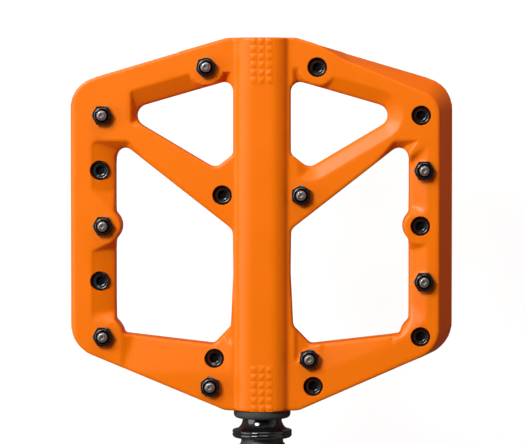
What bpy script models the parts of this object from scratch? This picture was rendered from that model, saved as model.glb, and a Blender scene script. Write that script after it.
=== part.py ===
# Flat platform pedal: a moulded body that turns on a steel spindle, gripped by eighteen screw pins.
# Units are metres. The spindle lies along Y. The origin is on its axis, in the plane of the shoulder
# that meets the crank arm, so the thread runs to -Y and the body to +Y. +Z is the upper tread face.
import math

import bmesh
import bpy
from mathutils import Matrix, Vector

MM = 0.001
GAP = 0.3 * MM                       # running and seating clearance between solids

# Body: plan and thickness
INBOARD_Y = 8.4 * MM
OUTBOARD_Y = 119.05 * MM
TREAD_Z = 5.75 * MM                  # half thickness of the rails and arms
CORNER_STEPS = 4

# Axle housing
HOUSING_TOP_Z = 8.6 * MM
HOUSING_FLAT = 3.75 * MM
HOUSING_SHELF_Z = 4.9 * MM
HOUSING_HALF = 9.4 * MM              # the windows trim it to their own inner edge

# Bores, from the crank side outward
BUSH_BORE = 7.0 * MM
BUSH_BORE_END = 32.4 * MM
MIDDLE_BORE = 5.7 * MM
BEARING_BORE = 7.3 * MM
BEARING_SEAT_Y = 100.0 * MM

# Spindle
THREAD_MAJOR = 7.144 * MM            # 9/16 inch, 20 turns to the inch
THREAD_PITCH = 1.27 * MM
THREAD_DEPTH = 0.72 * MM
THREAD_TURNS = 9
RELIEF_RADIUS = 6.3 * MM
RELIEF_LENGTH = 1.6 * MM
FLANGE_RADIUS = 8.9 * MM
FLANGE_CHAMFER = 0.5 * MM
FLARE_RADIUS = 2.8 * MM              # concave, from the neck out to the flange
FLANGE_THICK = 2.3 * MM
SHOULDER_INNER = 7.45 * MM           # the bearing face starts outside the thread's crest
UNDERCUT = 0.2 * MM
NECK_RADIUS = 5.85 * MM
NECK_END_Y = 31.0 * MM
TAPER_LOW_Y = 31.8 * MM
TAPER_LOW_RADIUS = 5.0 * MM
TAPER_HIGH_RADIUS = 4.3 * MM
SPINDLE_KEY = 8.0 * MM               # hex socket across flats, reached through the thread end
SPINDLE_END_Y = 112.4 * MM
BEARING_SEAT_RADIUS = 3.2 * MM
LOCK_THREAD_RADIUS = 2.9 * MM
LOCK_THREAD_END_Y = 105.5 * MM
LOCK_EDGE = 0.5 * MM

# Cartridge bearing, 7 x 14 x 5
BEARING_Y = 102.85 * MM
BEARING_HALF = 2.5 * MM
BEARING_OUTER = 7.0 * MM
BEARING_INNER = 3.5 * MM
BALL_RADIUS = 1.0 * MM
BALL_PITCH_RADIUS = 5.25 * MM
BALL_COUNT = 7
BALL_CLEARANCE = 0.25 * MM           # in the grooves and in the cage's pockets
OUTER_LAND = 5.95 * MM
INNER_LAND = 4.55 * MM
CAGE_INNER = 4.85 * MM
CAGE_OUTER = 5.65 * MM
CAGE_HIGH = 1.6 * MM                 # from the bearing's middle
CAGE_LOW = -0.8 * MM
SHIELD_THICK = 0.25 * MM

# Seal and bushing on the crank side
SEAL_BORE = 6.12 * MM
SEAL_SPIGOT = 6.72 * MM
SEAL_SPIGOT_END_Y = 11.8 * MM
SEAL_RIM = 8.5 * MM
SEAL_FRONT_Y = 5.8 * MM
SEAL_EDGE = 1.2 * MM
BUSH_LOW_Y = 12.1 * MM
BUSH_HIGH_Y = 32.1 * MM

# Washer, lock nut and screwed cap at the outboard end
LOCK_HOLE = 3.2 * MM
WASHER_RADIUS = 5.2 * MM
WASHER_LOW_Y = 105.65 * MM
WASHER_HIGH_Y = 106.45 * MM
LOCK_NUT_FLATS = 10.0 * MM
LOCK_NUT_LOW_Y = 106.75 * MM
LOCK_NUT_HIGH_Y = 111.4 * MM
CAP_FACE_Y = 118.6 * MM
CAP_RADIUS = 7.0 * MM
CAP_EDGE = 0.3 * MM
CAP_HOLLOW = 6.25 * MM
CAP_HOLLOW_END_Y = 113.0 * MM
CAP_KEY = 6.0 * MM
CAP_KEY_END_Y = 115.4 * MM
O_RING_GROOVE = 6.15 * MM
O_RING_LOW_Y = 116.2 * MM
O_RING_HIGH_Y = 117.5 * MM
O_RING_RADIUS = 6.75 * MM
O_RING_SECTION = 0.4 * MM

# Grip pins: an M3 socket screw let in from one face, and a hex nut on the other
PIN_HOLE = 1.8 * MM
PIN_RADIUS = 1.5 * MM
HEAD_RADIUS = 2.75 * MM
HEAD_HEIGHT = 2.4 * MM
HEAD_POCKET = 3.0 * MM
HEAD_TOP_Z = 4.45 * MM
HEAD_EDGE = 0.3 * MM
HEAD_KEY = 2.5 * MM
HEAD_KEY_DEPTH = 1.8 * MM
NUT_FLATS = 5.5 * MM
NUT_COLLAR = 2.45 * MM
NUT_THICK = 2.1 * MM
PIN_TIP_Z = 10.2 * MM
PIN_TIP_EDGE = 0.45 * MM

ORANGE = (0.90, 0.19, 0.008, 1.0)
BLACK_STEEL = (0.02, 0.02, 0.022, 1.0)
BRIGHT_STEEL = (0.55, 0.55, 0.56, 1.0)
DARK_RUBBER = (0.07, 0.07, 0.07, 1.0)
BEARING_PLASTIC = (0.75, 0.72, 0.62, 1.0)

TURN_OVER = Matrix.Rotation(math.pi, 4, "Y")      # the body is the same when turned over its axle
ALONG_Y = Matrix.Rotation(-math.pi / 2, 4, "X")   # stands a turned part's Z on the axle line


def clear_scene():
    for item in list(bpy.data.objects):
        bpy.data.objects.remove(item, do_unlink=True)


def new_collection(name):
    group = bpy.data.collections.new(name)
    bpy.context.scene.collection.children.link(group)
    return group


def material(name, colour, roughness, metallic):
    mat = bpy.data.materials.new(name)
    mat.use_nodes = True
    shader = mat.node_tree.nodes["Principled BSDF"]
    shader.inputs["Base Color"].default_value = colour
    shader.inputs["Roughness"].default_value = roughness
    shader.inputs["Metallic"].default_value = metallic
    mat.diffuse_color = colour
    return mat


def add_object(name, mesh, group, mat=None):
    item = bpy.data.objects.new(name, mesh)
    group.objects.link(item)
    if mat:
        mesh.materials.clear()
        mesh.materials.append(mat)
    return item


def as_tool(item):
    item.hide_render = True
    item.display_type = "WIRE"
    return item


def evaluated_mesh(item):
    depsgraph = bpy.context.evaluated_depsgraph_get()
    return bpy.data.meshes.new_from_object(item.evaluated_get(depsgraph), depsgraph=depsgraph)


def applied(item):
    """Bake an object's modifiers into its mesh."""
    mesh = evaluated_mesh(item)
    item.modifiers.clear()
    item.data = mesh
    return item


def smooth(item, degrees=35):
    item.data.shade_smooth()
    item.data.set_sharp_from_angle(angle=math.radians(degrees))
    return item


def subtract(item, tool):
    cut = item.modifiers.new("cut_" + tool.name, "BOOLEAN")
    cut.operation = "DIFFERENCE"
    cut.object = tool


def unite(item, tool):
    join = item.modifiers.new("join_" + tool.name, "BOOLEAN")
    join.operation = "UNION"
    join.object = tool


def turned(name, profile, steps, group, mat=None, closed=False):
    """A body of revolution about Z. The profile runs down its outer side; a closed one makes a ring."""
    points = [(radius, 0.0, height) for radius, height in profile]
    edges = [(i, i + 1) for i in range(len(points) - 1)]
    if closed:
        edges.append((len(points) - 1, 0))
    mesh = bpy.data.meshes.new(name)
    mesh.from_pydata(points, edges, [])
    item = add_object(name, mesh, group, mat)
    spin = item.modifiers.new("turn", "SCREW")
    spin.axis = "Z"
    spin.steps = steps
    spin.render_steps = steps
    spin.use_merge_vertices = True
    spin.merge_threshold = 0.00001
    return item


def turned_on_axle(name, profile, steps, group, mat=None, closed=False):
    """The same, on the axle. The profile is (radius, Y), from the outboard end inward."""
    item = turned(name, profile, steps, group, mat, closed)
    item.matrix_world = ALONG_Y
    return item


def plate(name, outline, low, high, group):
    """A flat outline given thickness, from height low to height high."""
    curve = bpy.data.curves.new(name, "CURVE")
    curve.dimensions = "2D"
    curve.fill_mode = "BOTH"
    curve.extrude = (high - low) / 2
    spline = curve.splines.new("POLY")
    spline.points.add(len(outline) - 1)
    for point, (x, y) in zip(spline.points, outline):
        point.co = (x, y, 0.0, 1.0)
    spline.use_cyclic_u = True
    flat = add_object(name + "_curve", curve, group)
    bpy.context.view_layer.update()
    mesh = evaluated_mesh(flat)
    bpy.data.objects.remove(flat, do_unlink=True)
    bm = bmesh.new()
    bm.from_mesh(mesh)
    bmesh.ops.remove_doubles(bm, verts=bm.verts, dist=0.000001)
    bmesh.ops.translate(bm, verts=bm.verts, vec=(0.0, 0.0, (high + low) / 2))
    bmesh.ops.recalc_face_normals(bm, faces=bm.faces)
    bm.to_mesh(mesh)
    bm.free()
    return add_object(name, mesh, group)


def cylinder(name, radius, low, high, sides, group, place=Matrix()):
    mesh = bpy.data.meshes.new(name)
    bm = bmesh.new()
    stand = Matrix.Translation((0.0, 0.0, (low + high) / 2))
    bmesh.ops.create_cone(bm, cap_ends=True, segments=sides, radius1=radius, radius2=radius,
                          depth=high - low, matrix=stand)
    bm.to_mesh(mesh)
    bm.free()
    item = add_object(name, mesh, group)
    item.matrix_world = place
    return item


def hexagon(name, across_flats, low, high, group, place=Matrix()):
    return cylinder(name, across_flats / 2 / math.cos(math.pi / 6), low, high, 6, group, place)


def rounded(corners, steps=CORNER_STEPS):
    """A closed outline whose corners (x, y, radius) are replaced by arcs."""
    outline = []
    for i, (x, y, radius) in enumerate(corners):
        corner = Vector((x, y))
        if radius == 0.0:
            outline.append(corner)
            continue
        before = (Vector(corners[i - 1][:2]) - corner).normalized()
        after = (Vector(corners[(i + 1) % len(corners)][:2]) - corner).normalized()
        half_angle = before.angle(after) / 2
        centre = corner + (before + after).normalized() * (radius / math.sin(half_angle))
        reach = radius / math.tan(half_angle)
        first = corner + before * reach - centre
        sweep = first.angle_signed(corner + after * reach - centre)
        for step in range(steps + 1):
            turn = Matrix.Rotation(-sweep * step / steps, 2)
            outline.append(centre + turn @ first)
    return outline


def millimetres(corners):
    return [tuple(value * MM for value in corner) for corner in corners]


# ---------------------------------------------------------------- body

# Half plans, from the outboard end round to the crank side: x, y, corner radius
FULL_EDGE = millimetres([(10.2, 118.85, 4.5), (20.0, 116.0, 0.0), (57.0, 105.25, 9.6),
                         (57.0, 27.75, 10.2), (10.9, 8.6, 5.0)])
LEANING_EDGE = millimetres([(10.2, 118.85, 4.5), (20.0, 115.0, 0.0), (52.5, 100.85, 6.5),
                            (52.5, 26.7, 9.0), (10.9, 8.6, 5.0)])
OUTBOARD_WINDOW = millimetres([(8.5, 107.0, 2.8), (42.3, 97.2, 3.3), (13.9, 80.3, 3.2),
                               (8.5, 84.6, 1.5)])
MAIN_WINDOW = millimetres([(43.7, 89.65, 3.0), (8.6, 62.2, 3.0), (8.45, 49.0, 0.0), (9.3, 33.2, 1.8),
                           (14.4, 27.95, 1.5), (43.7, 31.35, 0.0)])
# Round bosses that swell into the main window: x, y, radius
WINDOW_BOSSES = millimetres([(47.0, 63.25, 5.15), (47.1, 30.4, 5.9)])

# Pin places in one half of the body, and on which side of the axle each one's point faces up
PINS = [
    ("outer_arm", 16.45, 110.25, "left", -13.0),
    ("outer_corner", 47.2, 96.0, "left", 30.0),
    ("rail_front", 48.0, 79.7, "right", 30.0),
    ("rail_middle", 47.0, 63.25, "left", 30.0),
    ("rail_rear", 48.0, 46.8, "right", 30.0),
    ("inner_corner", 47.1, 30.4, "left", 30.0),
    ("axle_middle", 11.7, 72.4, "right", 0.0),
    ("axle_inner", 14.1, 23.9, "right", -9.0),
    ("inner_arm", 15.3, 15.6, "left", 7.0),
]

# Slopes that fall toward the windows on the upper face: start and end of the window edge (x, y),
# then how far each slope runs back from it, and how deep it is there
SLOPES = [
    ("left_arm_band", (-39.0, 98.16), (-21.5, 103.23), 4.8, 2.4),
    ("left_arm_notch", (-12.2, 105.93), (-9.4, 106.74), 3.0, 2.0),
    ("left_rail_outer", (-43.7, 70.0), (-43.7, 86.8), 6.8, 2.6),
    ("left_rail_inner", (-43.7, 37.5), (-43.7, 56.0), 6.8, 2.6),
    ("right_arm_band", (21.5, 103.23), (39.0, 98.16), 4.2, 1.8),
    ("right_diagonal", (16.5, 81.85), (39.0, 95.24), -4.2, 1.8),
    ("right_rail_outer", (43.7, 68.5), (43.7, 76.2), -5.2, 2.0),
    ("right_rail_inner", (43.7, 36.5), (43.7, 43.3), -5.2, 2.0),
    ("right_rail_middle", (43.7, 50.3), (43.7, 56.5), -5.2, 2.0),
]


def mirrored(outline):
    return [(-x, y) for x, y in reversed(outline)]


def half_outline(corners):
    """The rounded half plan, without the joining line along the axle."""
    outboard, inboard = corners[0][1], corners[-1][1]
    return rounded([(0.0, outboard, 0.0)] + corners + [(0.0, inboard, 0.0)])[1:-1]


def body_slab(group, mat):
    """The slab between an upper and a lower outline; each long edge leans the other way."""
    upper = half_outline(LEANING_EDGE) + mirrored(half_outline(FULL_EDGE))
    lower = half_outline(FULL_EDGE) + mirrored(half_outline(LEANING_EDGE))
    bm = bmesh.new()
    top = [bm.verts.new((x, y, TREAD_Z)) for x, y in upper]
    bottom = [bm.verts.new((x, y, -TREAD_Z)) for x, y in lower]
    bm.faces.new(top)
    bm.faces.new(bottom)
    for i in range(len(top)):
        j = (i + 1) % len(top)
        bm.faces.new((top[i], bottom[i], bottom[j]))
        bm.faces.new((top[i], bottom[j], top[j]))
    bmesh.ops.recalc_face_normals(bm, faces=bm.faces)
    mesh = bpy.data.meshes.new("platform_body")
    bm.to_mesh(mesh)
    bm.free()
    return add_object("platform_body", mesh, group, mat)


def housing(group):
    """The raised housing round the axle: flat top, rounded shoulders and a shelf down each side."""
    quarter = [(HOUSING_FLAT, HOUSING_TOP_Z), (5.9 * MM, 7.3 * MM), (7.3 * MM, 5.6 * MM),
               (HOUSING_HALF, HOUSING_SHELF_Z)]
    half = quarter + [(x, -z) for x, z in reversed(quarter)]
    section = half + [(-x, -z) for x, z in half]
    item = plate("housing", section, INBOARD_Y, OUTBOARD_Y, group)
    item.matrix_world = ALONG_Y
    return item


def window_tools(cutters, bosses):
    main = plate("main_window", rounded(MAIN_WINDOW), -0.02, 0.02, cutters)
    for i, (x, y, radius) in enumerate(WINDOW_BOSSES):
        place = Matrix.Translation((x, y, 0.0))
        boss = cylinder(f"window_boss_{i + 1}", radius, -0.03, 0.03, 24, bosses, place)
        subtract(main, as_tool(boss))
    bpy.context.view_layer.update()
    applied(main)
    outer = plate("outboard_window", rounded(OUTBOARD_WINDOW), -0.02, 0.02, cutters)
    return [main, outer]


def slope_tool(name, start, end, run, drop, cutters):
    """A block whose underside is the slope: level with the tread at the back, deepest at the window."""
    margin = 2.0 * MM
    height = 6.0 * MM
    start = Vector((*start, 0.0)) * MM
    end = Vector((*end, 0.0)) * MM
    along = (end - start).normalized()
    back = Vector((-along.y, along.x, 0.0)) * math.copysign(1.0, run)
    reach = abs(run) * MM
    rise = (back * reach + Vector((0.0, 0.0, drop * MM))).normalized()
    normal = rise.cross(along) * math.copysign(1.0, run)
    if normal.z < 0:
        normal = -normal
    width = math.hypot(reach, drop * MM) + 2 * margin
    foot = (start + end) / 2 + Vector((0.0, 0.0, TREAD_Z - drop * MM))
    centre = foot + rise * (width / 2 - margin) + normal * height / 2
    axes = Matrix((along, rise, normal)).transposed().to_4x4()
    size = Matrix.Diagonal((*((end - start).length, width, height), 1.0))
    mesh = bpy.data.meshes.new(name)
    bm = bmesh.new()
    bmesh.ops.create_cube(bm, size=1.0, matrix=Matrix.Translation(centre) @ axes @ size)
    bmesh.ops.recalc_face_normals(bm, faces=bm.faces)
    bm.to_mesh(mesh)
    bm.free()
    return add_object(name, mesh, cutters)


def bore_tool(cutters):
    """One stepped bore, right through the housing."""
    profile = [(0.0, 0.13), (BEARING_BORE, 0.13), (BEARING_BORE, BEARING_SEAT_Y),
               (MIDDLE_BORE, BEARING_SEAT_Y), (MIDDLE_BORE, BUSH_BORE_END),
               (BUSH_BORE, BUSH_BORE_END), (BUSH_BORE, 0.0), (0.0, 0.0)]
    return turned_on_axle("axle_bore", profile, 32, cutters)


def pin_places():
    """Name, matrix and nut angle of every pin. The pin stands along its own +Z, point up."""
    places = []
    for name, x, y, side, angle in PINS:
        sign = 1.0 if side == "right" else -1.0
        upright = Matrix.Translation((sign * x * MM, y * MM, 0.0))
        places.append((name + "_up", upright, angle))
        places.append((name + "_down", TURN_OVER @ upright, angle))
    return places


def pin_tool(name, place, cutters):
    floor = -HEAD_TOP_Z + HEAD_HEIGHT + GAP / 2
    profile = [(0.0, 0.02), (PIN_HOLE, 0.02), (PIN_HOLE, floor), (HEAD_POCKET, floor),
               (HEAD_POCKET, -0.02), (0.0, -0.02)]
    item = turned("hole_" + name, profile, 12, cutters)
    item.matrix_world = place
    return item


def copy_turned_over(item, group):
    twin = add_object(item.name + "_turned", item.data, group)
    twin.matrix_world = TURN_OVER @ item.matrix_world
    return twin


def platform_body(group, cutters, guides, mat):
    body = body_slab(group, mat)
    unite(body, as_tool(housing(guides)))
    tools = window_tools(cutters, guides)
    tools += [slope_tool(*slope, cutters) for slope in SLOPES]
    bpy.context.view_layer.update()
    tools += [copy_turned_over(tool, cutters) for tool in tools]
    tools.append(bore_tool(cutters))
    tools += [pin_tool(name, place, cutters) for name, place, _ in pin_places()]
    for tool in tools:
        subtract(body, as_tool(tool))
    bpy.context.view_layer.update()
    applied(body)
    return smooth(body, 30)


# ---------------------------------------------------------------- grip pins

def pin_screw_mesh(guides, mat):
    """Socket screw along Z, point up: head below, shank through the body, bevelled point."""
    head_low = -HEAD_TOP_Z
    head_high = head_low + HEAD_HEIGHT
    profile = [(0.0, PIN_TIP_Z), (PIN_RADIUS - PIN_TIP_EDGE, PIN_TIP_Z),
               (PIN_RADIUS, PIN_TIP_Z - PIN_TIP_EDGE), (PIN_RADIUS, head_high), (HEAD_RADIUS, head_high),
               (HEAD_RADIUS, head_low + HEAD_EDGE), (HEAD_RADIUS - HEAD_EDGE, head_low), (0.0, head_low)]
    screw = turned("pin_screw", profile, 14, guides, mat)
    socket = hexagon("pin_socket", HEAD_KEY, head_low - MM, head_low + HEAD_KEY_DEPTH, guides)
    subtract(screw, as_tool(socket))
    bpy.context.view_layer.update()
    mesh = smooth(applied(screw)).data
    bpy.data.objects.remove(screw, do_unlink=True)
    return mesh


def pin_nut_mesh(guides, mat):
    """Hex nut with a round collar on top, seated on the tread."""
    low = TREAD_Z + GAP
    high = low + NUT_THICK
    nut = hexagon("pin_nut", NUT_FLATS, low, high - 0.5 * MM, guides)
    nut.data.materials.append(mat)
    collar = cylinder("nut_collar", NUT_COLLAR, high - MM, high, 18, guides)
    unite(nut, as_tool(collar))
    hole = cylinder("nut_bore", PIN_HOLE, 0.0, 0.02, 12, guides)
    subtract(nut, as_tool(hole))
    bpy.context.view_layer.update()
    mesh = smooth(applied(nut)).data
    bpy.data.objects.remove(nut, do_unlink=True)
    return mesh


def grip_pins(group, guides, steel):
    screw = pin_screw_mesh(guides, steel)
    nut = pin_nut_mesh(guides, steel)
    for name, place, angle in pin_places():
        add_object("pin_screw_" + name, screw, group).matrix_world = place
        spin = Matrix.Rotation(math.radians(angle), 4, "Z")
        add_object("pin_nut_" + name, nut, group).matrix_world = place @ spin


# ---------------------------------------------------------------- spindle and bearings

def spindle(group, guides, mat):
    """Turned from the outboard end: lock thread, bearing seat, taper, neck, flange, relief, thread."""
    flare_steps = 5
    profile = [(0.0, SPINDLE_END_Y), (LOCK_THREAD_RADIUS - LOCK_EDGE, SPINDLE_END_Y),
               (LOCK_THREAD_RADIUS, SPINDLE_END_Y - LOCK_EDGE), (LOCK_THREAD_RADIUS, LOCK_THREAD_END_Y),
               (BEARING_SEAT_RADIUS, LOCK_THREAD_END_Y - 0.2 * MM), (BEARING_SEAT_RADIUS, BEARING_SEAT_Y),
               (TAPER_HIGH_RADIUS, BEARING_SEAT_Y), (TAPER_LOW_RADIUS, TAPER_LOW_Y),
               (NECK_RADIUS, NECK_END_Y)]
    for step in range(flare_steps + 1):
        angle = math.pi / 2 * step / flare_steps
        profile.append((NECK_RADIUS + FLARE_RADIUS * (1 - math.cos(angle)),
                        FLANGE_THICK + FLARE_RADIUS * (1 - math.sin(angle))))
    profile += [(FLANGE_RADIUS, FLANGE_THICK), (FLANGE_RADIUS, FLANGE_CHAMFER),
                (FLANGE_RADIUS - FLANGE_CHAMFER, 0.0),
                (SHOULDER_INNER, 0.0), (SHOULDER_INNER, UNDERCUT),
                (RELIEF_RADIUS, UNDERCUT), (RELIEF_RADIUS, -RELIEF_LENGTH)]
    for turn in range(THREAD_TURNS):
        crest = -RELIEF_LENGTH - (turn + 0.5) * THREAD_PITCH
        profile.append((THREAD_MAJOR, crest + 0.1 * THREAD_PITCH))
        profile.append((THREAD_MAJOR, crest - 0.1 * THREAD_PITCH))
        profile.append((THREAD_MAJOR - THREAD_DEPTH, crest - 0.5 * THREAD_PITCH))
    end_y = -RELIEF_LENGTH - THREAD_TURNS * THREAD_PITCH
    profile.append((0.0, end_y))
    item = turned_on_axle("spindle", profile, 24, group, mat)
    key = hexagon("spindle_key", SPINDLE_KEY, -0.02, 0.0, guides, ALONG_Y)
    subtract(item, as_tool(key))
    bpy.context.view_layer.update()
    return smooth(applied(item))


def plain_ring(name, inner, outer, low, high, steps, group, mat, edge=0.0):
    """A turned ring between two radii and two Y values, with its outer edges eased."""
    profile = [(inner, high), (outer - edge, high), (outer, high - edge), (outer, low + edge),
               (outer - edge, low), (inner, low)]
    if edge == 0.0:
        profile = [(inner, high), (outer, high), (outer, low), (inner, low)]
    return smooth(turned_on_axle(name, profile, steps, group, mat, closed=True))


def race(name, plain_radius, land_radius, group, mat):
    """A bearing ring: plain on one side, with the ball groove on the other."""
    groove = BALL_RADIUS + BALL_CLEARANCE
    reach = math.sqrt(groove ** 2 - (land_radius - BALL_PITCH_RADIUS) ** 2)
    inward = land_radius < BALL_PITCH_RADIUS
    half = math.asin(reach / groove)
    middle = math.pi if inward else 0.0
    arc = []
    for step in range(5):
        angle = middle + half * (1 - step / 2)
        arc.append((BALL_PITCH_RADIUS + groove * math.cos(angle), BEARING_Y + groove * math.sin(angle)))
    high = BEARING_Y + BEARING_HALF
    low = BEARING_Y - BEARING_HALF
    if inward:
        arc.reverse()
        profile = [(plain_radius, high), (land_radius, high)] + arc
        profile += [(land_radius, low), (plain_radius, low)]
    else:
        arc.reverse()
        profile = [(land_radius, high), (plain_radius, high), (plain_radius, low), (land_radius, low)] + arc
    return smooth(turned_on_axle(name, profile, 24, group, mat, closed=True))


def bearing(group, guides, steel, plastic):
    race("bearing_outer_ring", BEARING_OUTER, OUTER_LAND, group, steel)
    race("bearing_inner_ring", BEARING_INNER, INNER_LAND, group, steel)
    high = BEARING_Y + CAGE_HIGH
    low = BEARING_Y + CAGE_LOW
    section = [(CAGE_INNER, high), (CAGE_OUTER, high), (CAGE_OUTER, low), (CAGE_INNER, low)]
    cage = turned_on_axle("ball_cage", section, 42, group, plastic, closed=True)
    for i in range(BALL_COUNT):
        angle = 2 * math.pi * i / BALL_COUNT
        centre = Vector((BALL_PITCH_RADIUS * math.sin(angle), BEARING_Y, BALL_PITCH_RADIUS * math.cos(angle)))
        ball(f"bearing_ball_{i + 1}", BALL_RADIUS, centre, group, steel)
        pocket = ball(f"cage_pocket_{i + 1}", BALL_RADIUS + BALL_CLEARANCE, centre, guides)
        subtract(cage, as_tool(pocket))
    bpy.context.view_layer.update()
    smooth(applied(cage))
    for side, offset in (("inboard", -2.25 * MM), ("outboard", 2.0 * MM)):
        low = BEARING_Y + offset
        plain_ring(f"bearing_shield_{side}", CAGE_INNER, CAGE_OUTER, low, low + SHIELD_THICK, 24, group,
                   steel)


def ball(name, radius, centre, group, mat=None):
    mesh = bpy.data.meshes.new(name)
    bm = bmesh.new()
    bmesh.ops.create_uvsphere(bm, u_segments=10, v_segments=6, radius=radius)
    bm.to_mesh(mesh)
    bm.free()
    item = add_object(name, mesh, group, mat)
    item.matrix_world = Matrix.Translation(centre)
    return smooth(item, 60)


def inboard_end(group, bushing, rubber):
    """The seal that closes the crank side, and the plain bearing behind it."""
    face = INBOARD_Y - 0.25 * MM
    profile = [(SEAL_BORE, SEAL_SPIGOT_END_Y), (SEAL_SPIGOT, SEAL_SPIGOT_END_Y), (SEAL_SPIGOT, face),
               (SEAL_RIM, face), (SEAL_RIM, SEAL_FRONT_Y + SEAL_EDGE),
               (SEAL_RIM - 0.3 * SEAL_EDGE, SEAL_FRONT_Y + 0.3 * SEAL_EDGE),
               (SEAL_RIM - SEAL_EDGE, SEAL_FRONT_Y), (SEAL_BORE, SEAL_FRONT_Y)]
    smooth(turned_on_axle("inboard_seal", profile, 32, group, rubber, closed=True))
    plain_ring("glide_bushing", SEAL_BORE, SEAL_SPIGOT, BUSH_LOW_Y, BUSH_HIGH_Y, 28, group, bushing)


def outboard_end(group, guides, steel, cap_mat, rubber):
    """Washer and lock nut on the spindle end, and the screwed cap that closes the housing."""
    plain_ring("axle_washer", LOCK_HOLE, WASHER_RADIUS, WASHER_LOW_Y, WASHER_HIGH_Y, 24, group, steel)
    nut = hexagon("axle_lock_nut", LOCK_NUT_FLATS, LOCK_NUT_LOW_Y, LOCK_NUT_HIGH_Y, group, ALONG_Y)
    nut.data.materials.append(steel)
    subtract(nut, as_tool(cylinder("lock_nut_bore", LOCK_HOLE, 0.1, 0.12, 20, guides, ALONG_Y)))
    bpy.context.view_layer.update()
    smooth(applied(nut))
    profile = [(0.0, CAP_FACE_Y), (CAP_RADIUS - CAP_EDGE, CAP_FACE_Y), (CAP_RADIUS, CAP_FACE_Y - CAP_EDGE),
               (CAP_RADIUS, O_RING_HIGH_Y), (O_RING_GROOVE, O_RING_HIGH_Y), (O_RING_GROOVE, O_RING_LOW_Y),
               (CAP_RADIUS, O_RING_LOW_Y), (CAP_RADIUS, WASHER_LOW_Y), (CAP_HOLLOW, WASHER_LOW_Y),
               (CAP_HOLLOW, CAP_HOLLOW_END_Y), (0.0, CAP_HOLLOW_END_Y)]
    cap = turned_on_axle("end_cap", profile, 28, group, cap_mat)
    subtract(cap, as_tool(hexagon("cap_key", CAP_KEY, CAP_KEY_END_Y, 0.13, guides, ALONG_Y)))
    bpy.context.view_layer.update()
    smooth(applied(cap))
    o_ring(group, (O_RING_LOW_Y + O_RING_HIGH_Y) / 2, rubber)


def o_ring(group, centre_y, mat):
    sides = 8
    profile = []
    for i in range(sides):
        angle = math.pi / 2 - 2 * math.pi * i / sides
        profile.append((O_RING_RADIUS + O_RING_SECTION * math.cos(angle),
                        centre_y + O_RING_SECTION * math.sin(angle)))
    smooth(turned_on_axle("cap_o_ring", profile, 28, group, mat, closed=True), 60)


def main():
    clear_scene()
    parts = new_collection("flat_pedal")
    cutters = new_collection("cutters")
    guides = new_collection("guides")
    nylon = material("orange_nylon", ORANGE, 0.45, 0.0)
    black = material("black_oxide_steel", BLACK_STEEL, 0.35, 0.6)
    bright = material("bright_steel", BRIGHT_STEEL, 0.25, 1.0)
    rubber = material("dark_rubber", DARK_RUBBER, 0.7, 0.0)
    plastic = material("bearing_plastic", BEARING_PLASTIC, 0.5, 0.0)
    platform_body(parts, cutters, guides, nylon)
    grip_pins(parts, guides, black)
    spindle(parts, guides, black)
    inboard_end(parts, plastic, rubber)
    bearing(parts, guides, bright, plastic)
    outboard_end(parts, guides, bright, black, rubber)


main()
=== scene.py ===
import math

import bmesh
import bpy
import numpy as np
from mathutils import Matrix, Vector


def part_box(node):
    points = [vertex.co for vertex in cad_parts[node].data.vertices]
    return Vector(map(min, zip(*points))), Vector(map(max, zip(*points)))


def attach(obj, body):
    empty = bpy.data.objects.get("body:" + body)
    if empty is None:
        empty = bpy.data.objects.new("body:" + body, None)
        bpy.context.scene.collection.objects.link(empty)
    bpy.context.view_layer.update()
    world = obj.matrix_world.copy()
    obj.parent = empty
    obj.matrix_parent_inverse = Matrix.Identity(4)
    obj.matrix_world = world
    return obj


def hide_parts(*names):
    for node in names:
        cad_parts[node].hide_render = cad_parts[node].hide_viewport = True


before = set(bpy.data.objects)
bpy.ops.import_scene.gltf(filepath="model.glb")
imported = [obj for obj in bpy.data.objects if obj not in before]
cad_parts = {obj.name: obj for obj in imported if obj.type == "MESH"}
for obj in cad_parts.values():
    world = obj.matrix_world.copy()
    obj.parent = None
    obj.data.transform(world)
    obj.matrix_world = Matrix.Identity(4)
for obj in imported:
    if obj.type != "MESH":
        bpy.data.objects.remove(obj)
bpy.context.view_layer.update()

mm = 0.001
bodyLow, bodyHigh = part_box("platform_body")
turnOver = Matrix.Rotation(math.pi, 4, "Y")    # the body is the same turned over its axle
alongAxle = Matrix.Rotation(-math.pi / 2, 4, "X")
print("frame loaded,", len(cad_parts), "nodes")


class Flow:                                    # one socket, with arithmetic
    def __init__(self, finish, socket):
        self.finish = finish
        self.socket = socket

    def __add__(self, other):
        return self.finish.maths("ADD", self, other)

    def __sub__(self, other):
        return self.finish.maths("SUBTRACT", self, other)

    def __rsub__(self, other):
        return self.finish.maths("SUBTRACT", other, self)

    def __mul__(self, other):
        return self.finish.maths("MULTIPLY", self, other)

    __radd__ = __add__
    __rmul__ = __mul__


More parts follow.
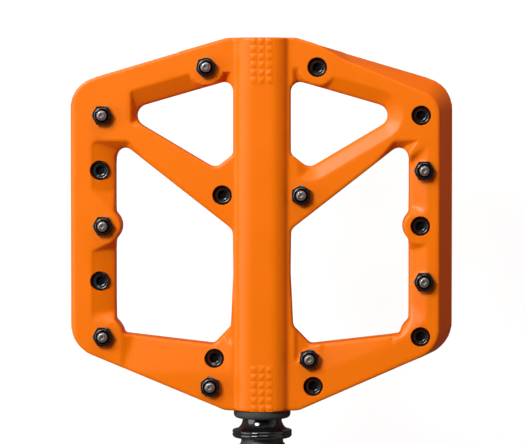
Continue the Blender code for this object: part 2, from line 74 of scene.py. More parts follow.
class Finish:                                  # one material, built from expressions
    def __init__(self, name, **uniform):
        self.material = bpy.data.materials.new(name)
        self.material.use_nodes = True
        self.tree = self.material.node_tree
        self.shader = self.tree.nodes["Principled BSDF"]
        for key, value in uniform.items():
            self.shader.inputs[key.replace("_", " ")].default_value = value

    def node(self, kind, settings=None, inputs=None, output=0):
        made = self.tree.nodes.new(kind)
        for key, value in (settings or {}).items():
            setattr(made, key, value)
        for key, value in (inputs or {}).items():
            if isinstance(value, Flow):
                self.tree.links.new(value.socket, made.inputs[key])
            else:
                made.inputs[key].default_value = value
        return Flow(self, made.outputs[output])

    def maths(self, operation, first, second=0.0, clamp=False):
        return self.node("ShaderNodeMath", {"operation": operation, "use_clamp": clamp},
                         {0: first, 1: second})

    def mix(self, factor, low, high):          # colours by a 0 to 1 mask
        return self.node("ShaderNodeMix", {"data_type": "RGBA"}, {0: factor, 6: low, 7: high}, 2)

    def place(self):
        return self.node("ShaderNodeTexCoord", output="Object")

    def noise(self, size, detail=3.0, rough=0.5):   # size in metres
        return self.node("ShaderNodeTexNoise", {}, {"Vector": self.place(), "Scale": 1.0 / size,
                                                    "Detail": detail, "Roughness": rough})

    def between(self, value, low, high):       # 0 below low, 1 above high
        return self.maths("DIVIDE", value - low, high - low, True)

    def bump(self, height, depth, strength=1.0):
        return self.node("ShaderNodeBump", {}, {"Height": height, "Distance": depth, "Strength": strength})

    def feed(self, **links):
        for key, value in links.items():
            self.tree.links.new(value.socket, self.shader.inputs[key.replace("_", " ")])
        return self.material


nylon = {"deep": (0.84, 0.168, 0.0008, 1), "pale": (0.87, 0.176, 0.0012, 1), "rough": 0.31,
         "cloudSize": 14 * mm, "grainSize": 0.35 * mm, "grainDepth": 0.02 * mm, "refraction": 1.5,
         "specular": 0.24}


def mouldedNylon():
    look = Finish("mouldedNylon", IOR=nylon["refraction"], Specular_IOR_Level=nylon["specular"])
    cloud = look.noise(nylon["cloudSize"], 2.0)
    grain = look.noise(nylon["grainSize"], 2.0)
    tint = look.mix(look.between(cloud, 0.3, 0.7), nylon["deep"], nylon["pale"])
    return look.feed(Base_Color=tint, Roughness=nylon["rough"] + 0.06 * cloud + 0.05 * grain,
                     Normal=look.bump(grain, nylon["grainDepth"], 0.3))


def blackCoat(name, tone, rough, grainSize=0.5 * mm, refraction=1.55):
    look = Finish(name, IOR=refraction)
    cloud = look.noise(2.5 * mm, 3.0)
    grain = look.noise(grainSize, 2.0)
    low = (tone, tone, tone * 1.05, 1)
    high = (tone * 1.7, tone * 1.75, tone * 1.95, 1)
    tint = look.mix(look.between(cloud, 0.35, 0.7), low, high)
    return look.feed(Base_Color=tint, Roughness=rough + 0.12 * cloud,
                     Normal=look.bump(grain, 0.01 * mm, 0.3))


def bareSteel(name="bareSteel", tone=0.5, rough=0.2, metal=1.0):
    look = Finish(name, Metallic=metal)
    cloud = look.noise(0.8 * mm, 4.0, 0.6)
    low = (tone * 0.75, tone * 0.74, tone * 0.74, 1)
    high = (tone * 1.15, tone * 1.14, tone * 1.12, 1)
    tint = look.mix(cloud, low, high)
    return look.feed(Base_Color=tint, Roughness=rough + 0.2 * cloud)


rubber = {"dark": (0.036, 0.037, 0.038, 1), "light": (0.058, 0.059, 0.06, 1), "rough": 0.5,
          "grainSize": 0.2 * mm, "grainDepth": 0.02 * mm, "specular": 0.4}


def softRubber():
    look = Finish("sealRubber", Specular_IOR_Level=rubber["specular"])
    cloud = look.noise(3 * mm, 3.0)
    grain = look.noise(rubber["grainSize"], 2.0)
    tint = look.mix(cloud, rubber["dark"], rubber["light"])
    return look.feed(Base_Color=tint, Roughness=rubber["rough"] + 0.2 * cloud,
                     Normal=look.bump(grain, rubber["grainDepth"], 0.4))


plastic = {"dark": (0.55, 0.5, 0.4, 1), "light": (0.66, 0.62, 0.52, 1), "rough": 0.4}


def bearingPlastic():
    look = Finish("bearingPlastic")
    cloud = look.noise(4 * mm, 3.0)
    tint = look.mix(cloud, plastic["dark"], plastic["light"])
    return look.feed(Base_Color=tint, Roughness=plastic["rough"] + 0.15 * cloud)


finishes = {
    "nylon": mouldedNylon(),
    "pin": blackCoat("blackOxidePins", 0.003, 0.16, refraction=1.65),
    "spindle": blackCoat("blackPlatedSpindle", 0.005, 0.05, 0.8 * mm, 1.75),
    "thread": blackCoat("darkThreadSteel", 0.035, 0.4),
    "cap": blackCoat("blackAnodisedCap", 0.02, 0.3, 0.25 * mm),
    "tip": bareSteel("bareSteelTips", 0.3, 0.2, 0.8),
    "steel": bareSteel(),
    "rubber": softRubber(),
    "plastic": bearingPlastic(),
}
print("finishes made")


def newPiece(name, mesh):
    piece = bpy.data.objects.new(name, mesh)
    bpy.context.scene.collection.objects.link(piece)
    return piece


def dress(mesh, *names):                       # its finishes, in slot order
    mesh.materials.clear()
    for name in names:
        mesh.materials.append(finishes[name])


def meshFrom(name, fill):                      # fill(bm) builds into an empty bmesh
    bm = bmesh.new()
    fill(bm)
    bmesh.ops.recalc_face_normals(bm, faces=bm.faces)
    mesh = bpy.data.meshes.new(name)
    bm.to_mesh(mesh)
    bm.free()
    return mesh


def applyModifiers(piece):
    graph = bpy.context.evaluated_depsgraph_get()
    mesh = bpy.data.meshes.new_from_object(piece.evaluated_get(graph), depsgraph=graph)
    piece.modifiers.clear()
    piece.data = mesh


def boolean(piece, tool, operation="DIFFERENCE"):
    step = piece.modifiers.new(operation.lower(), "BOOLEAN")
    step.operation = operation
    step.object = tool
    applyModifiers(piece)
    bpy.data.objects.remove(tool, do_unlink=True)


def smoothed(piece, degrees=35):
    piece.data.shade_smooth()
    piece.data.set_sharp_from_angle(angle=math.radians(degrees))
    return piece


def roundedOutline(corners, steps=10):         # corners are x, y, radius
    outline = []
    for i, (x, y, radius) in enumerate(corners):
        corner = Vector((x, y))
        if radius == 0:
            outline.append(corner)
            continue
        before = (Vector(corners[i - 1][:2]) - corner).normalized()
        after = (Vector(corners[(i + 1) % len(corners)][:2]) - corner).normalized()
        half = before.angle(after) / 2
        centre = corner + (before + after).normalized() * (radius / math.sin(half))
        first = corner + before * (radius / math.tan(half)) - centre
        last = corner + after * (radius / math.tan(half)) - centre
        sweep = first.angle_signed(last)
        for step in range(steps + 1):
            outline.append(centre + Matrix.Rotation(-sweep * step / steps, 2) @ first)
    return outline


def prism(outline, low, high, lower=None):     # between an upper outline and a lower one
    def fill(bm):
        top = [bm.verts.new((x, y, high)) for x, y in outline]
        bottom = [bm.verts.new((x, y, low)) for x, y in (lower or outline)]
        bm.faces.new(top)
        bm.faces.new(bottom)
        for i in range(len(top)):
            j = (i + 1) % len(top)
            bm.faces.new((top[i], bottom[i], bottom[j], top[j]))
    return meshFrom("prism", fill)


def ring(bm, radius, height, sides, wave=None):
    around = []
    for i in range(sides):
        angle = 2 * math.pi * i / sides
        reach = radius + (wave(angle, height) if wave else 0.0)
        around.append(bm.verts.new((reach * math.cos(angle), reach * math.sin(angle), height)))
    return around


def turnedMesh(profile, sides, wave=None, closed=False):   # profile: radius, height in millimetres
    def fill(bm):
        loops = [ring(bm, radius * mm, height * mm, sides, wave) for radius, height in profile]
        if closed:
            loops.append(loops[0])
        else:
            bm.faces.new(loops[0])
            bm.faces.new(loops[-1])
        for one, two in zip(loops, loops[1:]):
            for i in range(sides):
                j = (i + 1) % sides
                bm.faces.new((one[i], one[j], two[j], two[i]))
    return meshFrom("turned", fill)


def hexMesh(acrossFlats, low, high):           # in millimetres
    reach = acrossFlats * mm / 2 / math.cos(math.pi / 6)
    corners = [(reach * math.sin(i * math.pi / 3), reach * math.cos(i * math.pi / 3)) for i in range(6)]
    return prism(corners, low * mm, high * mm)


def tool(mesh, place=Matrix()):
    item = newPiece("tool", mesh)
    item.matrix_world = place
    bpy.context.view_layer.update()
    return item


body = {                                       # millimetres, unless a name says otherwise
    "halfWidth": bodyHigh.x / mm,
    "outboardY": bodyHigh.y / mm,
    "inboardY": bodyLow.y / mm,
    "treadZ": 5.75,                            # half thickness of the rails and arms
    "voxel": 0.42,
    "softPasses": 6,
    "keepFaces": 0.5,                          # share of the faces that thinning keeps
    "windowDepth": 20.0,
    "sharpDegrees": 38,
}

# half plans from the outboard end round to the crank side: x, y, corner radius
fullEdge = [(10.2, body["outboardY"], 4.5), (16.0, 117.4, 6.0), (25.0, 114.78, 20.0),
            (body["halfWidth"], 105.3, 9.6), (body["halfWidth"], 27.45, 10.2),
            (10.9, body["inboardY"], 5.0)]
leaningEdge = [(10.2, body["outboardY"], 4.5), (16.0, 117.25, 6.0), (25.0, 112.2, 20.0),
               (52.5, 100.85, 6.5), (52.5, 26.7, 9.0), (10.9, body["inboardY"], 5.0)]
outerWindow = [(8.5, 107.0, 2.8), (42.3, 97.2, 3.3), (13.9, 80.3, 3.2), (8.5, 84.6, 1.5)]
mainWindow = [(43.7, 89.65, 3.0), (8.6, 62.2, 3.0), (8.45, 49.0, 25.0), (9.3, 33.2, 1.8),
              (14.4, 27.95, 1.5), (43.7, 31.35, 0)]
bosses = [(47.0, 63.25, 5.15), (47.1, 30.4, 5.9)]     # swell from the rail into the main window

housing = {"flat": 2.8, "top": 8.6, "shoulder": 7.65, "shoulderZ": 5.7, "side": 9.4, "sideZ": 5.4,
           "curveWide": 5.3, "curveSteps": 12}


def scaled(outline):
    return [(x * mm, y * mm) for x, y in outline]


def mirrored(outline):
    return [(-x, y) for x, y in reversed(outline)]


def halfPlan(corners):
    return roundedOutline([(0, corners[0][1], 0)] + corners + [(0, corners[-1][1], 0)])[1:-1]


def bodySlab():
    upper = halfPlan(leaningEdge) + mirrored(halfPlan(fullEdge))
    lower = halfPlan(fullEdge) + mirrored(halfPlan(leaningEdge))
    height = body["treadZ"] * mm
    if len(upper) != len(lower):
        raise ValueError("the two outlines need the same number of points")
    return prism(scaled(upper), -height, height, scaled(lower))


def housingMesh():                             # flat top with shoulders that are part of an ellipse
    wide = housing["curveWide"]
    reach = housing["shoulder"] - housing["flat"]
    deep = (housing["top"] - housing["shoulderZ"]) / (1 - math.sqrt(1 - (reach / wide) ** 2))
    quarter = []
    for step in range(housing["curveSteps"] + 1):
        x = reach * math.sin(math.pi / 2 * step / housing["curveSteps"])
        fall = deep * (1 - math.sqrt(1 - (x / wide) ** 2))
        quarter.append((housing["flat"] + x, housing["top"] - fall))
    quarter.append((housing["side"], housing["sideZ"]))
    half = quarter + [(x, -z) for x, z in reversed(quarter)]
    section = half + [(-x, -z) for x, z in half]
    mesh = prism(scaled(section), body["inboardY"] * mm, body["outboardY"] * mm)
    mesh.transform(alongAxle)
    return mesh


def windowTools():
    deep = body["windowDepth"]
    main = tool(prism(scaled(roundedOutline(mainWindow)), -deep * mm, deep * mm))
    for x, y, radius in bosses:
        boss = turnedMesh([(radius, -1.5 * deep), (radius, 1.5 * deep)], 64)
        boolean(main, tool(boss, Matrix.Translation((x * mm, y * mm, 0))))
    outer = tool(prism(scaled(roundedOutline(outerWindow)), -deep * mm, deep * mm))
    return [main, outer]


# Relief of the faces: u is the distance from the axle, y runs along it. A slope is the fall per
# millimetre, and a line is its start and end, with the sunken part on its left.
relief = {
    "outerPin": (16.45, 110.25),
    "cornerTop": 88.6, "cornerLine": ((39.4, 88.9), (34.0, 82.4)), "cornerRound": 1.0, "cornerSlope": 1.15,
    "armEnd": (34.0, 35.5),
    "axle": (8.7, 9.3),                        # the fall fades in between these
    "deepest": 4.0,
    "nutRests": [(48.0, 79.7), (48.0, 46.8), (14.1, 23.9)],    # flat pads under nuts on falling faces
    "restEdge": (2.3, 2.9),
}
sunken = {                                     # the half with closed pockets
    "pinFlat": 5.2, "bandWide": 5.0, "bandFall": 2.9, "bandWall": 2.1, "bandEnd": 38.95, "bandRound": 1.2,
    "bandInboard": 93.3, "bandInboardRound": 1.0, "bandAxle": 9.1, "bandOutboard": 108.9, "bandEase": 0.15,
    "railStart": 50.5, "railStep": 0.16, "railStepWide": 0.6, "railSlope": 0.33, "railCurve": 0.018,
    "railEdge": 50.6, "railRound": 2.2, "upperLine": ((44.5, 67.2), (50.5, 73.9)), "upperSlope": 0.65,
    "upperEase": 0.2, "lowerLine": ((50.2, 55.85), (43.2, 59.4)), "lowerRound": 0.8, "lowerSlope": 1.3,
    "lowerLimit": 38.0, "lowerEnd": 34.9, "lowerEndWide": 2.6, "lowerEase": 0.15,
    "armStart": 19.6, "armSlope": 0.15, "armOuter": 41.9, "armOuterSlope": 0.45, "armInner": 9.0,
    "armInnerSlope": 0.4, "edgeRound": 1.9, "edgeInboard": (22.0, 30.0), "edgeOutboard": (98.0, 104.0),
}
bevelled = {                                   # the half with open bevels
    "pinFlat": 5.3, "pinSlope": 1.3, "bandWide": 4.2, "bandFall": 1.75, "bandExtra": 0.9,
    "bandExtraEnd": (11.5, 14.0), "notchY": 100.0, "notch": 9.2, "notchSlope": 1.3, "hub": 10.5,
    "hubSlope": 0.4, "windowInboard": (74.0, 78.0), "cornerCut": ((43.97, 85.6), (46.1, 88.5)),
    "railStart": 48.9, "railSlope": 0.385, "upperLimit": 40.0, "upperInboard": (66.0, 69.4),
    "upperLine": ((48.9, 88.0), (44.2, 84.3)), "upperFade": (-0.2, 2.4), "bossFlat": 5.3, "bossSlope": 0.9,
    "lowerLine": ((42.6, 31.2), (48.9, 35.4)), "lowerEndSlope": 0.26, "lowerLimit": 38.0,
    "nearStart": 9.7, "nearSteep": 1.25, "nearStep": 0.75, "nearSlope": 0.22, "nearInboard": 22.8,
    "nearInboardSlope": 0.9, "nearEnd": 19.5, "nearEndSlope": 0.3, "armLine": ((18.6, 20.6), (40.0, 29.0)),
    "armSlope": 0.15, "armInner": 15.5, "armOuter": 43.5, "armSideSlope": 0.4,
}


def ramp(value, low, high):                    # 0 to 1, eased at both ends
    t = np.clip((value - low) / (high - low), 0, 1)
    return t * t * (3 - 2 * t)


def softPlus(value, ease=0.12):                # max(value, 0) with a rounded foot, 0 well below
    return np.maximum(0.5 * (value + np.sqrt(value * value + ease * ease)) - 0.1 * ease, 0)


def softLeast(*values, ease=0.3):
    least = values[0]
    for value in values[1:]:
        gap = least - value
        least = least - 0.5 * (gap + np.sqrt(gap * gap + ease * ease))
    return least


def roundedLeast(first, second, radius):       # inside distance to two edges with a rounded corner
    corner = radius - np.hypot(np.maximum(radius - first, 0), np.maximum(radius - second, 0))
    return np.where((first < radius) & (second < radius), corner, np.minimum(first, second))


def leftOf(u, y, start, end):                  # signed distance, positive on the left of start to end
    alongU, alongY = end[0] - start[0], end[1] - start[1]
    return ((y - start[1]) * alongU - (u - start[0]) * alongY) / math.hypot(alongU, alongY)


def away(u, y, spot):
    return np.hypot(u - spot[0], y - spot[1])


def reachFrom(u, y, outline):                  # distance to a closed outline
    nearest = np.full(u.shape, 1e9)
    for i, end in enumerate(outline):
        start = outline[i - 1]
        alongU, alongY = end[0] - start[0], end[1] - start[1]
        length = max(alongU * alongU + alongY * alongY, 1e-9)
        part = np.clip(((u - start[0]) * alongU + (y - start[1]) * alongY) / length, 0, 1)
        nearest = np.minimum(nearest, np.hypot(u - start[0] - part * alongU, y - start[1] - part * alongY))
    return nearest


def cornerWall(u, y):                          # short steep wall over the main window's outboard corner
    return roundedLeast(relief["cornerTop"] - y, leftOf(u, y, *relief["cornerLine"]), relief["cornerRound"])


def sunkenSide(u, y):                          # how far the face falls on the half with closed pockets
    cut = sunken
    above = leftOf(u, y, outerWindow[0], outerWindow[1])
    inner = roundedLeast(cut["bandEnd"] - u, cut["bandWide"] - above, cut["bandRound"])
    inner = roundedLeast(inner, y - cut["bandInboard"], cut["bandInboardRound"])
    inner = np.minimum(inner, away(u, y, relief["outerPin"]) - cut["pinFlat"])
    inner = np.minimum(inner, np.minimum(u - cut["bandAxle"], cut["bandOutboard"] - y))
    falling = cut["bandFall"] * (1 - above / cut["bandWide"])
    window = softPlus(softLeast(cut["bandWall"] * inner, falling, ease=cut["bandEase"]))

    run = np.maximum(cut["railStart"] - u, 0)
    fall = cut["railStep"] * ramp(run, 0.0, cut["railStepWide"])
    fall = fall + cut["railSlope"] * run + cut["railCurve"] * run * run
    upper = roundedLeast(cut["railEdge"] - u, relief["cornerTop"] - y, cut["railRound"])
    upper = relief["cornerSlope"] * np.minimum(upper, cornerWall(u, y))
    upper = softLeast(upper, cut["upperSlope"] * leftOf(u, y, *cut["upperLine"]), fall, ease=cut["upperEase"])
    lower = roundedLeast(cut["railEdge"] - u, leftOf(u, y, *cut["lowerLine"]), cut["lowerRound"])
    lower = softPlus(softLeast(cut["lowerSlope"] * lower, u - cut["lowerLimit"], fall, ease=cut["lowerEase"]))
    rail = softPlus(upper) + lower * np.clip((y - cut["lowerEnd"]) / cut["lowerEndWide"], 0, 1)

    arm = softLeast(cut["armSlope"] * (y - cut["armStart"]), cut["armOuterSlope"] * (cut["armOuter"] - u),
                    cut["armInnerSlope"] * (u - cut["armInner"]))
    return window + rail + softPlus(arm) * (1 - ramp(y, *relief["armEnd"]))


def bevelledSide(u, y):                        # the same on the half with open bevels
    cut = bevelled
    pinGap = away(u, y, relief["outerPin"]) - cut["pinFlat"]
    reach = reachFrom(u, y, roundedOutline(outerWindow, 6))
    steep = cut["bandFall"] + cut["bandExtra"] * (1 - ramp(u, *cut["bandExtraEnd"]))
    nearAxle = np.where(y > cut["notchY"], cut["notchSlope"] * (u - cut["notch"]),
                        cut["hubSlope"] * (u - cut["hub"]))
    window = softLeast(steep * (1 - reach / cut["bandWide"]), cut["pinSlope"] * pinGap, nearAxle)
    window = softPlus(window) * ramp(y, *cut["windowInboard"])

    corner = np.minimum(cornerWall(u, y), leftOf(u, y, *cut["cornerCut"]))
    corner = softPlus(relief["cornerSlope"] * corner) * ramp(y, *cut["windowInboard"])
    fall = cut["railSlope"] * (cut["railStart"] - u)
    upper = softPlus(softLeast(fall, u - cut["upperLimit"])) * ramp(y, *cut["upperInboard"])
    upper = upper * ramp(leftOf(u, y, *cut["upperLine"]), *cut["upperFade"])
    bossEdge = np.where(y < bosses[0][1], away(u, y, bosses[0]) - cut["bossFlat"], -1.0)
    lower = softLeast(fall, cut["bossSlope"] * bossEdge,
                      cut["lowerEndSlope"] * leftOf(u, y, *cut["lowerLine"]), u - cut["lowerLimit"])
    rail = np.maximum(corner, upper) + softPlus(lower)

    run = u - cut["nearStart"]
    near = softLeast(cut["nearSteep"] * run, cut["nearStep"] + cut["nearSlope"] * run,
                     cut["nearInboardSlope"] * (y - cut["nearInboard"]),
                     cut["nearEndSlope"] * (cut["nearEnd"] - u))
    arm = softLeast(cut["armSlope"] * leftOf(u, y, *cut["armLine"]),
                    cut["armSideSlope"] * (u - cut["armInner"]), cut["armSideSlope"] * (cut["armOuter"] - u))
    arm = np.maximum(softPlus(near), softPlus(arm)) * (1 - ramp(y, *relief["armEnd"]))
    return window + rail + arm


def edgeRound(u, y):                           # rolls the long edge of the sunken side over
    radius = sunken["edgeRound"]
    inner = np.clip(radius - (body["halfWidth"] - u), 0, radius)
    roll = radius - np.sqrt(radius * radius - inner * inner)
    return roll * ramp(y, *sunken["edgeInboard"]) * (1 - ramp(y, *sunken["edgeOutboard"]))


def faceDrop(x, y):
    u = np.abs(x)
    drop = np.where(x < 0, sunkenSide(u, y) + edgeRound(u, y), bevelledSide(u, y))
    for rest in relief["nutRests"]:
        drop = np.where(x > 0, drop * ramp(away(u, y, rest), *relief["restEdge"]), drop)
    return np.clip(drop * ramp(u, *relief["axle"]), 0, relief["deepest"])


def shapeFaces(mesh):                          # presses the relief into both faces of the body
    points = np.empty(len(mesh.vertices) * 3)
    mesh.vertices.foreach_get("co", points)
    points = points.reshape(-1, 3)
    x, y, z = (points / mm).T
    side = np.where(z >= 0, 1.0, -1.0)
    points[:, 2] = z * (1 - faceDrop(x * side, y) / body["treadZ"]) * mm
    mesh.vertices.foreach_set("co", points.ravel())
    mesh.update()


studs = {"columns": 3, "rows": 6, "pitchX": 2.25, "pitchY": 2.31, "base": 2.0, "tip": 0.3, "height": 0.34,
         "sink": 0.4, "middleX": 0.03, "starts": (9.35, 106.3)}


def studMesh():                                # low pyramids on both ends of the housing, both faces
    base, tip = studs["base"] / 2 * mm, studs["tip"] / 2 * mm
    levels = [(base, (housing["top"] - studs["sink"]) * mm), (base, housing["top"] * mm),
              (tip, (housing["top"] + studs["height"]) * mm)]

    def pyramid(bm, x, y, turn):
        rings = []
        for reach, height in levels:
            rings.append([bm.verts.new((turn * (x + sx * reach), y + sy * reach, turn * height))
                          for sx, sy in ((1, 1), (-1, 1), (-1, -1), (1, -1))])
        bm.faces.new(rings[0])
        bm.faces.new(rings[-1])
        for lower, upper in zip(rings, rings[1:]):
            for i in range(4):
                j = (i + 1) % 4
                bm.faces.new((lower[i], lower[j], upper[j], upper[i]))

    def fill(bm):
        for start in studs["starts"]:
            for row in range(studs["rows"]):
                for column in range(studs["columns"]):
                    x = studs["middleX"] + (column - 1) * studs["pitchX"]
                    y = start + row * studs["pitchY"]
                    pyramid(bm, x * mm, y * mm, 1)
                    pyramid(bm, x * mm, y * mm, -1)
    return meshFrom("studs", fill)


bore = {"bush": 7.0, "bushEnd": 32.4, "middle": 5.7, "bearing": 7.3, "seat": 100.0, "inset": 0.25,
        "past": 2}


def boreMesh():                                # stepped bore for bushing, spindle, bearing and cap
    bush, middle, bearing, inset = bore["bush"], bore["middle"], bore["bearing"], bore["inset"]
    inboard, outboard = body["inboardY"], body["outboardY"]
    profile = [(bush + inset, inboard - bore["past"]), (bush + inset, inboard), (bush, inboard + inset),
               (bush, bore["bushEnd"]), (middle, bore["bushEnd"]), (middle, bore["seat"]),
               (bearing, bore["seat"]), (bearing, outboard - inset), (bearing + inset, outboard),
               (bearing + inset, outboard + bore["past"])]
    return turnedMesh(profile, 72)


screwShape = {"shank": 1.5, "hole": 1.85, "pocket": 2.9, "pocketLip": 0.15, "pocketGap": 0.15, "past": 12,
              "holeTurn": 2.6,                 # degrees that the facets of a hole are turned by
              "head": 2.8, "headTop": 4.45, "headHigh": 2.4, "key": 2.5, "keyDepth": 1.9, "tipTop": 10.2,
              "bareTip": 0.8, "threadTurns": 5, "threadPitch": 0.5, "threadDepth": 0.2}
nutShape = {"flats": 5.5, "seat": 5.78, "top": 8.15, "collarHigh": 0.5, "collar": 2.44, "hole": 1.7,
            "mouth": 1.95}


def pinNodes():                                # name, matrix of every pin, point along its own +Z
    for node in sorted(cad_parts):
        if node.startswith("pin_screw_"):
            low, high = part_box(node)
            x, y = (low.x + high.x) / 2, (low.y + high.y) / 2
            place = Matrix.Translation((x, y, 0))
            if node.endswith("_down"):
                place = place @ turnOver
            yield node[len("pin_screw_"):], place


def pinHoles():
    holes = bmesh.new()
    for name, place in pinNodes():
        spot = place.translation / mm
        side = 1 if name.endswith("_down") else -1      # the face that the head is let into
        drop = float(faceDrop(np.array([side * spot.x]), np.array([spot.y]))[0])
        mouth = -(body["treadZ"] - drop)
        floor = -screwShape["headTop"] + screwShape["headHigh"] + screwShape["pocketGap"]
        hole, wide = screwShape["hole"], screwShape["pocket"]
        lip, past = screwShape["pocketLip"], screwShape["past"]
        profile = [(hole, past), (hole, floor), (wide, floor), (wide, mouth + lip), (wide + lip, mouth),
                   (wide + lip, -past)]
        mesh = turnedMesh(profile, 44)
        mesh.transform(place @ Matrix.Rotation(math.radians(screwShape["holeTurn"]), 4, "Z"))
        holes.from_mesh(mesh)
    mesh = bpy.data.meshes.new("pinHoles")
    holes.to_mesh(mesh)
    holes.free()
    return mesh


def platformBody():
    piece = newPiece("platformShell", bodySlab())
    boolean(piece, tool(housingMesh()), "UNION")
    for window in windowTools():
        twin = tool(window.data.copy(), turnOver)
        boolean(piece, twin)
        boolean(piece, window)
    remesh = piece.modifiers.new("remesh", "REMESH")
    remesh.mode = "VOXEL"
    remesh.voxel_size = body["voxel"] * mm
    soften = piece.modifiers.new("soften", "SMOOTH")
    soften.factor = 0.5
    soften.iterations = body["softPasses"]
    applyModifiers(piece)
    shapeFaces(piece.data)
    thin = piece.modifiers.new("thin", "DECIMATE")
    thin.ratio = body["keepFaces"]
    applyModifiers(piece)
    print("body softened,", len(piece.data.polygons), "faces")
    boolean(piece, tool(studMesh()), "UNION")
    boolean(piece, tool(boreMesh(), alongAxle))
    boolean(piece, tool(pinHoles()))
    dress(piece.data, "nylon")
    smoothed(piece, body["sharpDegrees"])
    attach(piece, "platform")
    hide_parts("platform_body")
    print("platform body done,", len(piece.data.polygons), "faces")


nutTurns = {"outer_arm": -15, "outer_corner": 30, "rail_front": 30, "rail_middle": 30, "rail_rear": 30,
            "inner_corner": 30, "axle_middle": 0, "axle_inner": -9, "inner_arm": 7}    # degrees


def screwMesh():                               # black screw whose bare tip has a dimple
    shank, tip, head = screwShape["shank"], screwShape["tipTop"], screwShape["head"]
    turns, pitch, deep = screwShape["threadTurns"], screwShape["threadPitch"], screwShape["threadDepth"]
    headLow = -screwShape["headTop"]
    headHigh = headLow + screwShape["headHigh"]
    profile = [(0.1, tip - 0.38), (0.22, tip - 0.36), (0.48, tip - 0.12), (0.62, tip - 0.01), (0.75, tip),
               (1.0, tip - 0.02), (1.15, tip - 0.08), (1.32, tip - 0.26), (1.44, tip - 0.5),
               (shank, tip - 0.7)]
    for turn in range(turns):                  # the exposed thread, as fine grooves
        crest = tip - 0.85 - turn * pitch
        profile += [(shank, crest), (shank - deep, crest - 0.2), (shank - deep, crest - 0.27)]
    profile += [(shank, tip - 0.95 - turns * pitch), (shank, headHigh), (head - 0.15, headHigh),
                (head, headHigh - 0.15), (head, headLow + 0.32), (head - 0.08, headLow + 0.14),
                (head - 0.24, headLow + 0.02), (head - 0.42, headLow), (2.12, headLow + 0.03),
                (1.98, headLow + 0.12), (1.5, headLow + 0.75), (1.4, headLow + 0.8)]
    screw = newPiece("screw", turnedMesh(profile, 40))
    boolean(screw, tool(hexMesh(screwShape["key"], headLow - 1, headLow + screwShape["keyDepth"])))
    mesh = smoothed(screw, 30).data
    dress(mesh, "pin", "tip")
    for face in mesh.polygons:
        if face.center.z > (tip - screwShape["bareTip"]) * mm:
            face.material_index = 1
    bpy.data.objects.remove(screw, do_unlink=True)
    return mesh


def nutMesh():                                 # hexagon with a rounded collar round the pin
    seat, top, flats = nutShape["seat"], nutShape["top"], nutShape["flats"]
    edge, mouth, hole = nutShape["collar"], nutShape["mouth"], nutShape["hole"]
    corner = flats / 2 / math.cos(math.pi / 6) + 0.05
    hexTop = top - nutShape["collarHigh"]
    nut = newPiece("nut", hexMesh(flats, seat, hexTop))
    dome = [(flats / 2 - 0.12, hexTop + 0.1), (flats / 2 - 0.02, hexTop - 0.02), (corner, hexTop - 0.36),
            (corner, seat - 0.2)]
    boolean(nut, tool(turnedMesh(dome, 48)), "INTERSECT")
    collar = [(edge - 0.42, top), (edge - 0.28, top - 0.03), (edge - 0.14, top - 0.12),
              (edge - 0.04, top - 0.27), (edge, top - 0.45), (edge, hexTop - 0.5)]
    boolean(nut, tool(turnedMesh(collar, 48)), "UNION")
    bored = [(mouth + 0.1, top + 0.3), (mouth, top - 0.02), (hole, top - 0.35), (hole, seat - 1)]
    boolean(nut, tool(turnedMesh(bored, 40)))
    mesh = smoothed(nut, 28).data
    dress(mesh, "pin")
    bpy.data.objects.remove(nut, do_unlink=True)
    return mesh


def gripPins():
    nut = nutMesh()
    screw = screwMesh()
    for name, place in pinNodes():
        site = name.rsplit("_", 1)[0]
        turn = Matrix.Rotation(math.radians(nutTurns[site]), 4, "Z")
        for kind, mesh, matrix in (("screw", screw, place), ("nut", nut, place @ turn)):
            piece = newPiece("grip" + kind.capitalize() + "_" + name, mesh)
            piece.matrix_world = matrix
            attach(piece, "platform")
            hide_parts("pin_" + kind + "_" + name)
    print("grip pins done")


spindleShape = {
    "lock": 2.9, "lockRoot": 2.7, "lockTurns": 12, "lockPitch": 0.5, "lockEnd": 105.5,
    "seat": 3.2, "seatEnd": 100.2, "taperHigh": 4.3, "taperLow": 5.0, "taperEnd": 31.8,
    "neck": 5.85, "neckEnd": 31.0, "flareRadius": 2.75, "flareRise": 3.3, "flareSteps": 16,
    "flange": 8.9, "flangeThick": 2.3, "grooveY": 1.35, "face": 7.45, "undercut": 0.2, "relief": 6.3,
    "thread": 7.144, "root": 6.42, "pitch": 1.27, "threadStart": -1.6, "threadRows": 110, "mouth": 4.9,
    "keyFlats": 8.0, "keyReach": 30.0,
}


